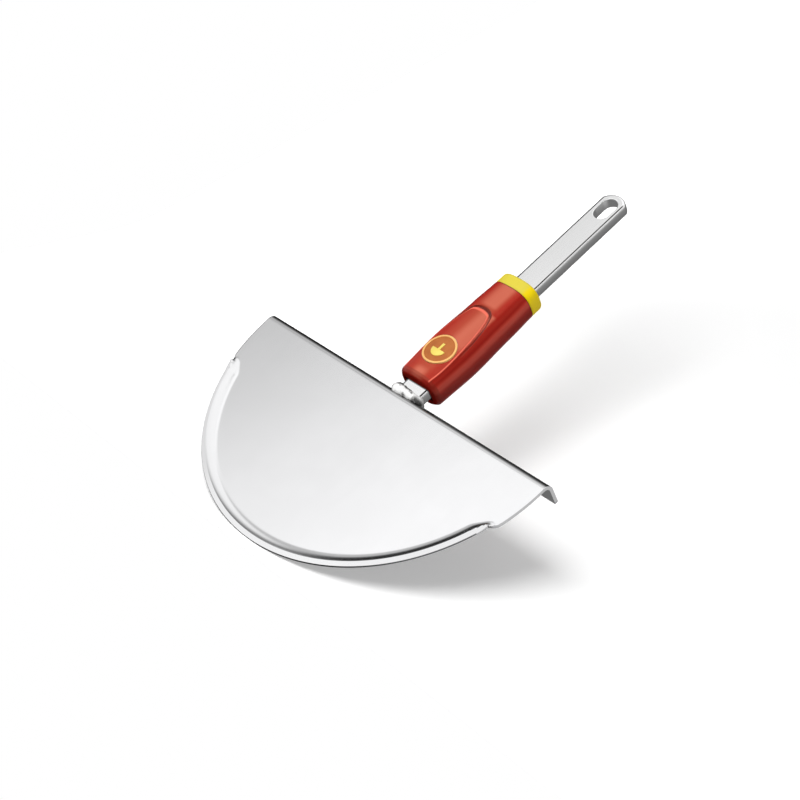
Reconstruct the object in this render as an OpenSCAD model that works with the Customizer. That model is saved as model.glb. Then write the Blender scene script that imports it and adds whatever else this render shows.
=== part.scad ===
// Half moon edger head: a pressed steel blade welded to a flat tang that plugs into a handle.
// X runs along the fold of the blade, Y along the tang, Z out of the blade's face.
// The pieces are drawn from the back of the flange and then shifted to stand on the origin.

/* [Blade] */
// Radius of the cutting arc
arc_r = 112; // [95:0.5:130]
// Distance from the fold down to the centre of the cutting arc
arc_drop = 5.7; // [2:0.1:12]
// Thickness of the blade sheet
sheet_t = 2; // [1.5:0.1:2.5]
// Depth of the tread flange below the face
flange_h = 15.8; // [14:0.2:18]
// Inside radius of the fold
fold_inner_r = 3; // [1:0.1:5]
// Radius on the lower end corners of the flange
flange_corner_r = 1.5; // [0.5:0.5:5]
// Height of the rim's ridge above the face
rim_lift = 2.5; // [1:0.1:3.5]
// Width of the ground bevel from the ridge to the cutting edge
rim_w = 2.8; // [2:0.1:6]
// Thickness of the sheet at the cutting edge
edge_t = 0.8; // [0.3:0.1:1.2]
// How far pressing the rim up has drawn its edge in
rim_draw = 1.2; // [0.5:0.1:2]
// Width of the curved rise from the face to the rim
rise_w = 6.3; // [4:0.1:10]
// Angle below the fold at which the rise starts on each side
rim_start = 15; // [10:1:30]

/* [Tang] */
// Width of the flat bar
tang_w = 17.2; // [15:0.1:20]
// Thickness of the flat bar
tang_t = 6.5; // [5:0.1:8]
// Length of the bar from the flange to its tip
tang_len = 169; // [140:1:200]
// Depth of the bar's top below the face
tang_drop = 1.8; // [1:0.1:3]
// Radius along the bar's edges
tang_edge_r = 1; // [0.5:0.1:2]
// Radius of the rounded tip
tip_r = 10; // [10:0.5:16]
// Width of the latch slot
slot_w = 10.4; // [7:0.1:11]
// Length of the latch slot
slot_len = 15.5; // [12:0.5:20]
// Steel left between the slot and the tip
slot_margin = 3.8; // [2.5:0.1:6]

/* [Weld] */
// Radius of the weld bead round the foot of the tang
weld_r = 3; // [2:0.1:4]
// Distance of the bead's centre line behind the flange
weld_y = 0.8; // [0.3:0.1:1.5]
// Depth of the bead's centre line below the skin of the bar
weld_sink = 0.7; // [0.3:0.1:1.2]

/* [Sleeve] */
// Distance from the flange to the sleeve
neck_len = 8.3; // [6:0.1:14]
// Length of the sleeve
sleeve_len = 74.6; // [68:0.2:90]
// Plastic beside the tang's channel at the sleeve's belly
side_wall = 6.4; // [5.6:0.1:9]
// Plastic above and below the tang's channel at the sleeve's belly
top_wall = 8.85; // [7.5:0.05:12]
// Distance from the sleeve's nose to its belly
belly_at = 28; // [22:1:34]
// Distance from the sleeve's nose to its waist
waist_at = 58; // [50:1:64]
// Size of the nose as a share of the belly
nose_share = 0.93; // [0.9:0.01:1]
// Size of the waist as a share of the belly
waist_share = 0.935; // [0.85:0.005:1]
// Size of the sleeve's rear end as a share of the belly
rear_share = 0.89; // [0.85:0.01:1]
// Squareness of the sleeve's section, where 2 is an ellipse
squareness = 2.6; // [2:0.1:3.4]
// How far the rounding of the nose draws the sleeve in
nose_r = 2.6; // [1:0.1:3.5]
// Length of the rounding of the nose
nose_run = 3.5; // [1:0.1:5]
// Gap between the tang and the sleeve's channel
channel_gap = 0.2; // [0.1:0.05:0.4]
// Gap round the tang at the sleeve's mouth
mouth_gap = 0.9; // [0.6:0.1:1.5]
// Depth of the sleeve's mouth
mouth_depth = 5; // [3:0.5:8]

/* [Panel] */
// Width of the top panel
panel_w = 25.6; // [24:0.1:28]
// Distance from the sleeve's nose to the panel's widest place
panel_wide_at = 18; // [14:1:22]
// Distance from the sleeve's nose to the panel's rear end
panel_len = 57; // [50:0.5:62]
// Width of the panel at its rear end
panel_rear_w = 13.6; // [10:0.2:20]
// Width of the panel at the nose
panel_nose_w = 16.8; // [12:0.2:24]
// Width of the groove round the panel
groove_w = 2; // [1:0.1:3]
// Depth of the groove round the panel
groove_d = 1; // [0.5:0.1:1.5]

/* [Collar] */
// Length of the collar behind the sleeve
collar_len = 8; // [6:0.5:14]
// Radius round the collar's rear edge
collar_r = 2; // [1:0.1:3]
// Wall of the sleeve round the collar's spigot
socket_wall = 2.4; // [1.8:0.1:2.8]
// Length of the spigot inside the sleeve
spigot_len = 7; // [5:0.5:10]
// Gap round the spigot
spigot_gap = 0.15; // [0.1:0.05:0.3]

/* [Badge] */
// Distance from the sleeve's nose to the centre of the badge
badge_at = 20.9; // [18:0.1:24]
// Radius of the badge over its bezel
badge_r = 10; // [8.5:0.1:11]
// Width of the bezel
bezel_w = 1.3; // [0.8:0.1:2]
// Depth of the badge's seat below the top of the sleeve
seat_depth = 1.7; // [1.2:0.1:2.2]
// Thickness of the badge plate
plate_t = 1.4; // [0.8:0.1:2]
// Height of the bezel above the plate
bezel_step = 0.5; // [0.2:0.1:1]
// Height of the raised motif
motif_h = 0.4; // [0.2:0.1:0.8]
// Radius of the half moon in the motif
motif_r = 4.6; // [3:0.1:5.5]
// Gap round the badge and between its pieces
badge_gap = 0.1; // [0.05:0.05:0.3]

/* [Retaining pin] */
// Radius of the pin through the tang
pin_r = 2.5; // [1.5:0.1:3.5]
// Gap round the pin
pin_gap = 0.1; // [0.05:0.05:0.2]
// Plastic left under the pin
pin_floor = 3; // [2:0.1:5]

/* [Hidden] */
$fn = 96;

// Cutting room past a face, and how far two parts of one sheet run into each other
over = 1;
// Turns of a formed outline
section_points = 44;
rise_steps = 6;
round_steps = 4;
front_steps = 6;
rear_steps = 10;
panel_steps = 32;

fold_r = fold_inner_r + sheet_t;
edge_r = arc_r - rim_draw;
rim_in = edge_r - rim_w;
bevel_drop = sheet_t - edge_t;
rise_r = (pow(rise_w, 2) + pow(rim_lift, 2)) / (2 * rim_lift);
rise_turn = 2 * atan(rim_lift / rise_w);
// The rise takes up part of the arc before the rim reaches its full height
rim_full = rim_start + asin(rise_w / rim_in);
form_depth = flange_h;

tang_z = -tang_drop - tang_t / 2;
slot_end = tang_len - slot_margin;

nose_y = neck_len;
rear_y = nose_y + sleeve_len;
collar_end = rear_y + collar_len;
sleeve_w = tang_w + 2 * (channel_gap + side_wall);
sleeve_h = tang_t + 2 * (channel_gap + top_wall);
stations = [
    [0, nose_share],
    [belly_at, 1],
    [waist_at, waist_share],
    [sleeve_len, rear_share]
];
sleeve_top = tang_z + sleeve_h / 2;
sleeve_bottom = tang_z - sleeve_h / 2;
badge_y = nose_y + badge_at;
seat_z = sleeve_top - seat_depth;
plate_r = badge_r - bezel_w - badge_gap;
pin_bottom = sleeve_bottom + pin_floor;
spigot_a = sleeve_w / 2 * rear_share - socket_wall - spigot_gap;
spigot_b = sleeve_h / 2 * rear_share - socket_wall - spigot_gap;

// The origin is under the middle of the whole part
low_z = min(sleeve_bottom, -flange_h);
mid_y = (tang_len - edge_r - arc_drop) / 2;

// Smooth step between two neighbouring stations of the sleeve
function ease(u) = u * u * (3 - 2 * u);
function share_between(s, i) =
    s <= stations[i + 1][0] || i == len(stations) - 2
        ? stations[i][1] + (stations[i + 1][1] - stations[i][1])
            * ease((s - stations[i][0]) / (stations[i + 1][0] - stations[i][0]))
        : share_between(s, i + 1);
function sleeve_share(s) = share_between(s, 0);

// One point of a rounded box section, and a ring of them at y
function signed_power(v, e) = sign(v) * pow(abs(v), e);
function ring(y, a, b) = [for (k = [0 : section_points - 1])
    let (t = 360 * k / section_points)
    [a * signed_power(cos(t), 2 / squareness), y, tang_z + b * signed_power(sin(t), 2 / squareness)]];

// A ring of the sleeve at distance s behind its nose, drawn in by inset
function sleeve_ring(s, inset) =
    ring(nose_y + s, sleeve_w / 2 * sleeve_share(s) - inset, sleeve_h / 2 * sleeve_share(s) - inset);

// A ring of the collar at distance s behind the sleeve, drawn in by inset
function collar_ring(s, inset) =
    ring(rear_y + s, sleeve_w / 2 * rear_share - inset, sleeve_h / 2 * rear_share - inset);

// Rings of the sleeve between two distances, without the first
function sleeve_run(from, to, steps, inset) =
    [for (i = [1 : steps]) sleeve_ring(from + (to - from) * i / steps, inset)];

function sleeve_skin(inset) = concat(
    [for (i = [0 : round_steps]) let (t = 90 * i / round_steps)
        sleeve_ring(nose_run * (1 - cos(t)), inset + nose_r * (1 - sin(t)))],
    sleeve_run(nose_run, belly_at, front_steps, inset),
    sleeve_run(belly_at, sleeve_len, rear_steps, inset));

function collar_skin() = concat(
    [collar_ring(0, 0)],
    [for (i = [0 : round_steps]) let (t = 90 * i / round_steps)
        collar_ring(collar_len - collar_r * (1 - sin(t)), collar_r * (1 - cos(t)))]);

// Closed solid through a list of rings with equally many points
module loft(rings) {
    n = len(rings[0]);
    last = len(rings) - 1;
    points = [for (r = rings) each r];
    sides = [for (i = [0 : last - 1]) for (k = [0 : n - 1]) let (m = (k + 1) % n)
        each [[i * n + k, i * n + m, (i + 1) * n + m], [i * n + k, (i + 1) * n + m, (i + 1) * n + k]]];
    front = [for (k = [n - 1 : -1 : 0]) k];
    back = [for (k = [0 : n - 1]) last * n + k];
    polyhedron(points, concat([front], sides, [back]));
}

// Shift from the back of the flange to the origin under the part
module place() {
    translate([0, -mid_y, -low_z]) children();
}

module rounded_rect(w, h, r) {
    square([w - 2 * r, h], center = true);
    square([w, h - 2 * r], center = true);
    for (x = [-1, 1]) for (y = [-1, 1])
        translate([x * (w / 2 - r), y * (h / 2 - r)]) circle(r);
}

// Section of the rise, with x as the distance inwards from its ridge and the ground falling by drop.
// Its foot stands in the flat below it.
module rise_section(outside, drop) {
    rise = [for (i = [rise_steps : -1 : 0]) let (t = rise_turn * i / rise_steps)
        [rise_w - rise_r * sin(t), rise_r * (1 - cos(t))]];
    bevel = outside > 0 ? [[-outside, rim_lift - drop * outside / rim_w]] : [];
    polygon(concat([[rise_w, -over], [-outside, -over]], bevel, rise));
}

// Everything under one face of the pressed sheet
module pressed_form(extra, drop) {
    outside = rim_w + over + extra;
    translate([0, 0, -form_depth]) cylinder(r = arc_r + over + extra, h = form_depth);
    rotate([0, 0, 180 + rim_full])
        rotate_extrude(angle = 180 - 2 * rim_full)
            translate([rim_in, 0]) mirror([1, 0]) rise_section(outside, drop);
    // The rise turns a corner at each end of the rim and runs out to the edge
    for (side = [0, 1]) mirror([side, 0, 0])
        rotate([0, 0, -rim_full]) translate([rim_in, 0, 0]) {
            rotate([0, 0, 90]) rotate_extrude(angle = 90) rise_section(0, drop);
            rotate([90, 0, 90]) linear_extrude(outside) rise_section(0, drop);
        }
}

// The half moon's flat and raised rim, up to where the fold starts
module pressed_sheet() {
    translate([0, -arc_drop, 0]) difference() {
        pressed_form(0, bevel_drop);
        translate([0, 0, -sheet_t]) pressed_form(over, 0);
    }
}

// The fold and the tread flange, seen along X with the face at height 0
module fold_section() {
    difference() {
        intersection() {
            translate([-fold_r, -fold_r]) circle(fold_r);
            translate([-fold_r, -fold_r]) square(fold_r);
        }
        translate([-fold_r, -fold_r]) circle(fold_inner_r);
    }
    translate([-sheet_t, -flange_h]) square([sheet_t, flange_h - fold_r]);
    translate([-fold_r - over, -sheet_t]) square([over, sheet_t]);
}

module fold() {
    rotate([90, 0, 90]) translate([0, 0, -arc_r]) linear_extrude(2 * arc_r) fold_section();
}

// Room that the blade's outline leaves, with round lower corners on the flange
module outline_room() {
    corner_x = sqrt(pow(arc_r, 2) - pow(arc_drop, 2)) - flange_corner_r;
    corner_z = flange_corner_r - flange_h;
    intersection() {
        translate([0, -arc_drop, -flange_h]) cylinder(r = arc_r, h = flange_h + rim_lift + over);
        rotate([90, 0, 0]) linear_extrude(4 * arc_r, center = true) {
            translate([-2 * arc_r, corner_z]) square([4 * arc_r, flange_h + rim_lift + over]);
            translate([-corner_x, -flange_h]) square([2 * corner_x, 2 * flange_corner_r]);
            for (x = [-corner_x, corner_x]) translate([x, corner_z]) circle(flange_corner_r);
        }
    }
}

// Ring past the cutting edge, where pressing has drawn the rim in
module drawn_in() {
    translate([0, -arc_drop, -flange_h]) rotate([0, 0, 180 + rim_start])
        rotate_extrude(angle = 180 - 2 * rim_start)
            translate([edge_r, 0]) square([rim_draw + over, flange_h + rim_lift + over]);
}

module blade_solid() {
    difference() {
        intersection() {
            union() {
                intersection() {
                    pressed_sheet();
                    translate([-2 * arc_r, -fold_r - 2 * arc_r, -flange_h])
                        cube([4 * arc_r, 2 * arc_r, 2 * flange_h]);
                }
                fold();
            }
            outline_room();
        }
        drawn_in();
    }
}

module blade() {
    color("gainsboro") place() blade_solid();
}

module tang_bar() {
    intersection() {
        rotate([-90, 0, 0]) translate([0, -tang_z, 0])
            linear_extrude(tang_len) rounded_rect(tang_w, tang_t, tang_edge_r);
        translate([0, 0, tang_z - tang_t]) linear_extrude(2 * tang_t) {
            translate([-tang_w, 0]) square([2 * tang_w, tang_len - tip_r]);
            translate([0, tang_len - tip_r]) circle(tip_r);
        }
    }
}

module tang() {
    color("silver") place() difference() {
        tang_bar();
        translate([0, 0, tang_z - tang_t]) linear_extrude(2 * tang_t) {
            for (y = [slot_end - slot_len + slot_w / 2, slot_end - slot_w / 2])
                translate([0, y]) circle(slot_w / 2);
            translate([-slot_w / 2, slot_end - slot_len + slot_w / 2])
                square([slot_w, slot_len - slot_w]);
        }
        translate([0, badge_y, tang_z - tang_t]) cylinder(r = pin_r + pin_gap, h = 2 * tang_t);
    }
}

// A round bead that follows the outline of the bar where it meets the flange
module weld_bead() {
    half_x = tang_w / 2 - weld_sink;
    half_z = tang_t / 2 - weld_sink;
    color("whitesmoke") place() difference() {
        translate([0, weld_y, tang_z]) {
            for (z = [-half_z, half_z])
                translate([-half_x, 0, z]) rotate([0, 90, 0]) cylinder(r = weld_r, h = 2 * half_x);
            for (x = [-half_x, half_x]) {
                translate([x, 0, -half_z]) cylinder(r = weld_r, h = 2 * half_z);
                for (z = [-half_z, half_z]) translate([x, 0, z]) sphere(weld_r);
            }
        }
        tang_bar();
        fold();
        translate([-tang_w, -tang_w, -flange_h]) cube([2 * tang_w, tang_w - fold_r, 2 * flange_h]);
        translate([-tang_w, -tang_w, -flange_h]) cube([2 * tang_w, tang_w, flange_h - fold_r]);
        translate([-tang_w, -fold_r, -fold_r]) rotate([0, 90, 0]) cylinder(r = fold_r, h = 2 * tang_w);
    }
}

// Outline of the panel from above, drawn in by inset
module panel_outline(inset) {
    wide_y = nose_y + panel_wide_at;
    front = -panel_wide_at;
    rear = panel_len - panel_wide_at;
    edge = [for (i = [0 : panel_steps])
        let (s = front + (rear - inset - front) * i / panel_steps)
        let (end = s < 0 ? [front, panel_nose_w] : [rear, panel_rear_w])
        let (loss = (1 - pow(end[1] / panel_w, 2)) * pow(s / end[0], 2))
        [(panel_w / 2) * sqrt(1 - loss) - inset, wide_y + s]];
    polygon(concat(edge, [for (i = [len(edge) - 1 : -1 : 0]) [-edge[i][0], edge[i][1]]]));
}

module sleeve() {
    color("firebrick") place() difference() {
        loft(sleeve_skin(0));
        // Groove round the panel
        difference() {
            translate([0, 0, tang_z]) linear_extrude(sleeve_h) difference() {
                panel_outline(0);
                panel_outline(groove_w);
            }
            loft(sleeve_skin(groove_d));
        }
        // Channel for the tang, with its wider mouth
        rotate([-90, 0, 0]) translate([0, -tang_z, 0])
            linear_extrude(collar_end) square([tang_w + 2 * channel_gap, tang_t + 2 * channel_gap], center = true);
        rotate([-90, 0, 0]) translate([0, -tang_z, nose_y - over])
            linear_extrude(mouth_depth + over)
                square([tang_w + 2 * mouth_gap, tang_t + 2 * mouth_gap], center = true);
        // Socket for the collar's spigot
        loft([for (y = [rear_y - spigot_len - spigot_gap, rear_y + over])
            ring(y, spigot_a + spigot_gap, spigot_b + spigot_gap)]);
        // Seat of the badge and the hole for the pin
        translate([0, badge_y, seat_z]) cylinder(r = badge_r + badge_gap, h = sleeve_h);
        translate([0, badge_y, pin_bottom]) cylinder(r = pin_r + pin_gap, h = sleeve_h);
    }
}

module collar() {
    color("gold") place() difference() {
        union() {
            loft(collar_skin());
            loft([for (y = [rear_y - spigot_len, rear_y + collar_len / 2]) ring(y, spigot_a, spigot_b)]);
        }
        rotate([-90, 0, 0]) translate([0, -tang_z, 0])
            linear_extrude(collar_end + over)
                square([tang_w + 2 * channel_gap, tang_t + 2 * channel_gap], center = true);
    }
}

module badge_plate() {
    color("peru") place() translate([0, badge_y, seat_z]) cylinder(r = plate_r, h = plate_t);
}

module badge_bezel() {
    color("sandybrown") place() translate([0, badge_y, seat_z]) difference() {
        cylinder(r = badge_r, h = plate_t + bezel_step);
        translate([0, 0, -over]) cylinder(r = badge_r - bezel_w, h = plate_t + bezel_step + 2 * over);
    }
}

// A plain half moon with a short stem
module badge_motif() {
    stem_w = motif_r / 3;
    color("khaki") place() translate([0, badge_y, seat_z + plate_t]) linear_extrude(motif_h) {
        intersection() {
            circle(motif_r);
            translate([-motif_r, -motif_r]) square([2 * motif_r, motif_r]);
        }
        translate([-stem_w / 2, -stem_w]) square([stem_w, motif_r + stem_w]);
    }
}

module retaining_pin() {
    color("dimgray") place() translate([0, badge_y, pin_bottom])
        cylinder(r = pin_r, h = seat_z - pin_bottom);
}

blade();
tang();
weld_bead();
sleeve();
collar();
badge_plate();
badge_bezel();
badge_motif();
retaining_pin();
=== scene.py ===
"""The looks of a half moon edger head, laid out as an add-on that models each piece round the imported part."""

import math

import bmesh
import bpy
from bpy.props import FloatProperty, FloatVectorProperty, IntProperty, PointerProperty
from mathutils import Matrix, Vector, noise


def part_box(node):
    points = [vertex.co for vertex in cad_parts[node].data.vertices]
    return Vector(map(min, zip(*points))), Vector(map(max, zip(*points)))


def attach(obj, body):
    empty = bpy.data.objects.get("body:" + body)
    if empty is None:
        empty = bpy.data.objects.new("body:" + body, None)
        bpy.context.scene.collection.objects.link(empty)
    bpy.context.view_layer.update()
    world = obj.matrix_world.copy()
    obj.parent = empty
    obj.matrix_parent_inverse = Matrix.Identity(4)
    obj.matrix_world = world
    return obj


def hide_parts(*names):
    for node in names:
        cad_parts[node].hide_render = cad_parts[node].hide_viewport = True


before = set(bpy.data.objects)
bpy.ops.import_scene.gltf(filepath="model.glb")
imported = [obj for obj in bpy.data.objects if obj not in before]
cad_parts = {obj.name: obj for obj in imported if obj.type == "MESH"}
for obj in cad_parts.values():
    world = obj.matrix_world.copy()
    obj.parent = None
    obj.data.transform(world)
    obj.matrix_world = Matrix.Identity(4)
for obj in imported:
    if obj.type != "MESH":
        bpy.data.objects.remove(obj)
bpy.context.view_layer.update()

bl_info = {
    "name": "Half moon edger head",
    "version": (1, 0, 0),
    "blender": (4, 2, 0),
    "location": "3D View > Sidebar > Edger",
    "description": "Models the blade, bar, weld, sleeve, collar and badge of an edger head, and its stage",
    "category": "Add Mesh",
}

MM = 0.001
TO_MM = 1000
NEAR = 1e-6
CLOSE = 1e-5
WHITE = (1, 1, 1, 1)


# Helpers for working by hand in edit mode

def mode(name):
    """Goes to edit mode or object mode."""
    bpy.ops.object.mode_set(mode=name)


def take_all():
    """Selects the whole mesh in edit mode."""
    bpy.ops.mesh.select_all(action="SELECT")


def deselect_all():
    """Leaves edit mode and clears the selection, so that the next piece starts clean."""
    if bpy.context.object is not None and bpy.context.object.mode != "OBJECT":
        mode("OBJECT")
    bpy.ops.object.select_all(action="DESELECT")


def begin(name):
    """Names the primitive that was just added, puts its origin at the frame's and opens it in edit mode."""
    piece = bpy.context.object
    piece.name = name
    piece.data.name = name
    bpy.ops.object.transform_apply(location=True, rotation=True, scale=True)
    mode("EDIT")
    bpy.ops.mesh.select_mode(type="VERT")
    take_all()
    return piece


def circle(name, vertices, radius, at=(0, 0, 0), fill="NGON"):
    """Begins a piece with a level circle, which is a filled disc unless told otherwise."""
    deselect_all()
    bpy.ops.mesh.primitive_circle_add(vertices=vertices, radius=radius, fill_type=fill, location=at)
    return begin(name)


def middle(item):
    """The middle of an edge or face."""
    return sum((v.co for v in item.verts), Vector()) / len(item.verts)


def sharp(edge, degrees):
    """Whether the two faces at an edge turn by more than this."""
    return len(edge.link_faces) == 2 and edge.calc_face_angle() > math.radians(degrees)


def pick(piece, kind, test):
    """Selects the vertices, edges or faces that pass the test."""
    bpy.ops.mesh.select_mode(type=kind)
    bpy.ops.mesh.select_all(action="DESELECT")
    mesh = bmesh.from_edit_mesh(piece.data)
    for item in {"VERT": mesh.verts, "EDGE": mesh.edges, "FACE": mesh.faces}[kind]:
        if test(item):
            item.select_set(True)
    mesh.select_flush_mode()
    bmesh.update_edit_mesh(piece.data)


def place(piece, move):
    """Puts each vertex where the given function says."""
    mesh = bmesh.from_edit_mesh(piece.data)
    for vert in mesh.verts:
        vert.co = move(vert.co.copy())
    bmesh.update_edit_mesh(piece.data)


def extrude(x, y, z):
    """Extrudes the selection by a step."""
    bpy.ops.mesh.extrude_region_move(TRANSFORM_OT_translate={"value": (x, y, z)})


def extrude_edges(rise=0.0):
    """Extrudes the selected edges straight up, or in place."""
    bpy.ops.mesh.extrude_edges_move(TRANSFORM_OT_translate={"value": (0, 0, rise)})


def turn_round(steps, angle, centre, axis):
    """Spins the selection about an axis, right-handed, which is the other way round from the tool's own."""
    bpy.ops.mesh.spin(steps=steps, angle=-angle, center=centre, axis=axis)


def bevel(width, segments):
    """Bevels the selected edges."""
    bpy.ops.mesh.bevel(offset=width, segments=segments, affect="EDGES")


def weld_doubles():
    """Joins vertices that lie on each other and turns the faces outwards."""
    take_all()
    bpy.ops.mesh.remove_doubles(threshold=NEAR)
    bpy.ops.mesh.normals_make_consistent(inside=False)


def apply(piece, kind, **settings):
    """Adds a modifier with these settings and applies it."""
    modifier = piece.modifiers.new(kind.title(), kind)
    for name, value in settings.items():
        setattr(modifier, name, value)
    bpy.context.view_layer.objects.active = piece
    bpy.ops.object.modifier_apply(modifier=modifier.name)


def cut(piece, tool):
    """Cuts the tool out of the piece and throws the tool away."""
    mode("OBJECT")
    apply(piece, "BOOLEAN", operation="DIFFERENCE", object=tool, solver="EXACT")
    bpy.data.objects.remove(tool)


def smooth(piece, degrees):
    """Shades the piece smooth up to the given angle between faces."""
    deselect_all()
    piece.select_set(True)
    bpy.context.view_layer.objects.active = piece
    bpy.ops.object.shade_smooth_by_angle(angle=math.radians(degrees))


def hand_over(piece, finish, slot, *nodes):
    """Gives the finished piece its finish and its place in the frame."""
    piece.data.materials.clear()
    piece.data.materials.append(finish)
    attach(piece, "root")
    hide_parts(*nodes)
    deselect_all()


def ease(value, start, end):
    """A soft step from 0 at start to 1 at end."""
    t = min(1.0, max(0.0, (value - start) / (end - start)))
    return t * t * (3 - 2 * t)


def between(value, stops):
    """Straight-line value between stops of (place, value)."""
    for (start, first), (end, second) in zip(stops, stops[1:]):
        if value <= end:
            return first + (second - first) * max(0.0, value - start) / (end - start)
    return stops[-1][1]


def soft_min(first, second, reach):
    """The smaller of two distances, rounded off where they are alike."""
    near = max(reach - abs(first - second), 0.0) / reach
    return min(first, second) - near ** 3 * reach / 6


def box_point(turn, half_x, half_z, power):
    """A point on a box with rounded corners, as its x and z, in the direction of a turn."""
    across, up = math.cos(turn), math.sin(turn)
    return math.copysign(half_x * abs(across) ** power, across), math.copysign(half_z * abs(up) ** power, up)


def tube(name, rings):
    """Extrudes a loop of vertices from ring to ring and back onto the first one, as a closed tube."""
    piece = circle(name, len(rings[0]), 1.0, fill="NOTHING")
    mesh = bmesh.from_edit_mesh(piece.data)
    for vert, point in zip(mesh.verts, rings[0]):
        vert.co = point
    bmesh.update_edit_mesh(piece.data)
    bpy.ops.mesh.select_mode(type="EDGE")
    take_all()
    last = rings[0]
    for ring in rings[1:] + rings[:1]:
        extrude_edges()
        mesh = bmesh.from_edit_mesh(piece.data)
        for vert in [v for v in mesh.verts if v.select]:
            nearest = min(range(len(last)), key=lambda k: (last[k] - vert.co).length_squared)
            vert.co = ring[nearest]
        bmesh.update_edit_mesh(piece.data)
        last = ring
    weld_doubles()
    mode("OBJECT")
    return piece


# Sizes of the pieces and settings of the stage

def length(name, description, millimetres):
    """A length, given in millimetres."""
    return FloatProperty(name=name, description=description, default=millimetres * MM, unit="LENGTH")


def number(name, description, default, **kind):
    """A number, with a unit or a subtype where it has one."""
    return FloatProperty(name=name, description=description, default=default, **kind)


def vector(name, description, subtype, default):
    """A place, a turn or a direction."""
    return FloatVectorProperty(name=name, description=description, size=3, subtype=subtype, default=default)


class EdgerBladeSizes(bpy.types.PropertyGroup):
    """Sizes of the pressed sheet"""

    sheet: length("Sheet", "Thickness of the sheet", 2.0)
    drop: length("Arc drop", "Distance from the fold's back to the arc's centre", 5.7)
    fold: length("Fold", "Outer radius of the fold", 5.0)
    lift: length("Rim lift", "Height of the rim over the face", 2.5)
    rim: length("Rim", "Width of the rim outside its ridge", 2.8)
    draw: length("Draw", "How far the pressing draws the edge in", 1.2)
    rise: length("Rise", "Width of the curve up to the rim", 6.3)
    edge: length("Edge", "Thickness left at the ground edge", 0.8)
    start: number(
        "Rim start", "Turn from the straight side to the rim's end", math.radians(15), subtype="ANGLE")
    corner: length("Corner", "Rounding of the flange's corners", 1.5)
    last_bevel: length("Last bevel", "Drop of the edge's last bevel", 0.45)
    break_edge: length("Broken edge", "Width of the broken edges", 0.22)
    steps: IntProperty(name="Steps", description="Steps round the arc", default=176)


class EdgerBarSizes(bpy.types.PropertyGroup):
    """Sizes of the bar and its weld"""

    tip: length("Tip", "Radius of the rounded tip", 10.0)
    slot_width: length("Slot width", "Width of the slot", 10.4)
    slot_length: length("Slot length", "Length of the slot", 15.5)
    slot_margin: length("Slot margin", "Bar left behind the slot", 3.8)
    slot_edge: length("Slot edge", "Rounding of the slot's edges", 0.45)
    edge: length("Edge", "Rounding of the bar's edges", 1.0)
    crown: length("Crown", "Rise from the edges to the flat", 0.22)
    shoulder: length("Shoulder", "Width of that rise", 0.80)
    bead: length("Bead", "Radius of the weld bead", 3.0)
    ripple: number("Ripple", "Height of the weld's ripples as a share of the bead", 0.10, subtype="FACTOR")


class EdgerSleeveSizes(bpy.types.PropertyGroup):
    """Sizes of the sleeve and collar"""

    belly: length("Belly", "Place of the widest section", 28.0)
    waist: length("Waist", "Place of the waist", 58.0)
    nose_share: number("Nose share", "Size of the nose section", 0.93, subtype="FACTOR")
    waist_share: number("Waist share", "Size of the waist section", 0.935, subtype="FACTOR")
    rear_share: number("Rear share", "Size of the rear section", 0.89, subtype="FACTOR")
    nose: length("Nose", "Rounding of the nose", 2.6)
    nose_top: length("Nose top", "Drop of the nose's slanted front", 2.2)
    nose_run: length("Nose run", "Length of the nose's rounding", 3.5)
    top_square: number("Top squareness", "Power of the upper half of a section", 2.9)
    side_square: number("Side squareness", "Power of the lower half of a section", 2.6)
    panel: length("Panel", "Greatest width of the top panel", 25.6)
    panel_wide: length("Panel wide", "Place of that width", 18.0)
    panel_end: length("Panel end", "Place of the panel's rear end", 57.0)
    panel_nose: length("Panel nose", "Width of the panel at the nose", 22.6)
    panel_rear: length("Panel rear", "Width of the panel at its end", 13.6)
    groove: length("Groove", "Depth of the groove round the panel", 1.0)
    groove_round: length("Groove round", "Rounding of the groove's corners", 1.4)
    rear_share_in: number("Rear groove", "Width of the side groove as a share of the rear one", 0.62)
    lip: length("Lip", "Height of the bead along the panel's edge", 0.35)
    bow: length("Bow", "Bow of the panel's rear end", 3.4)
    gap: length("Gap", "Room round the bar in the channel", 0.2)
    mouth: length("Mouth", "Room round the bar in the mouth", 0.9)
    mouth_depth: length("Mouth depth", "Depth of the mouth", 5.0)
    collar_round: length("Collar round", "Rounding of the collar's rear", 2.0)


class EdgerBadgeSizes(bpy.types.PropertyGroup):
    """Sizes of the badge"""

    ring: length("Ring", "Width of the bright ring", 1.3)
    crown: length("Crown", "Radius that the badge is crowned to", 55.0)
    moon: length("Moon", "Radius of the half moon figure", 4.6)
    stem: length("Stem", "Width of the figure's stem", 1.6)
    gap: length("Gap", "Room round the badge in its seat", 0.15)


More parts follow.
